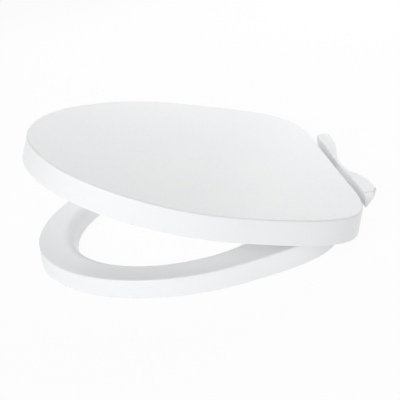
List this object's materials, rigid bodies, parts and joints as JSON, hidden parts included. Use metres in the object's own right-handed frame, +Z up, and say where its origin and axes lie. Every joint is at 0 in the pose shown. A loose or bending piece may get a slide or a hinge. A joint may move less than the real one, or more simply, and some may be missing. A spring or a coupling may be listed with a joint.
{
  "type": "toilet seat",
  "caption": "Wrap-over toilet seat: egg-shaped ring and dished lid with a deep skirt on a link hinge with slow-close dampers, bolted to the pan.",
  "frame": {"origin": "on the pan's top face, midway between the two fixing holes", "axes": "+Z up, -Y towards the seat's front, X across the seat"},
  "size_m": [0.3772, 0.46, 0.194],
  "materials": {
    "white_plastic": "gloss white",
    "steel": "ground",
    "damper_plastic": "matt grey",
    "bush_plastic": "natural",
    "buffer_rubber": "matt pale grey"
  },
  "bodies": {
    "hinge": {"hinge_cover": "white_plastic", "left_bracket": "white_plastic", "left_pin": "steel", "right_bracket": "white_plastic", "right_pin": "steel"},
    "ring": {"seat_ring": "white_plastic", "left_damper": "damper_plastic", "right_damper": "damper_plastic", "ring_buffer_front_left": "buffer_rubber", "ring_buffer_front_right": "buffer_rubber", "ring_buffer_rear_left": "buffer_rubber", "ring_buffer_rear_right": "buffer_rubber"},
    "lid": {"lid": "white_plastic", "left_bush": "bush_plastic", "right_bush": "bush_plastic", "lid_buffer_front_left": "buffer_rubber", "lid_buffer_front_right": "buffer_rubber", "lid_buffer_rear_left": "buffer_rubber", "lid_buffer_rear_right": "buffer_rubber"}
  },
  "joints": [
    {"name": "ring_hinge", "type": "hinge", "parent": "hinge", "child": "ring", "pos_m": [0, -0.004, 0.0195], "axis": [-1, 0, 0], "range_deg": [0, 79.4]},
    {"name": "lid_hinge", "type": "hinge", "parent": "ring", "child": "lid", "pos_m": [0, -0.004, 0.0195], "axis": [-1, 0, 0], "range_deg": [-21.6, 79.4]}
  ]
}
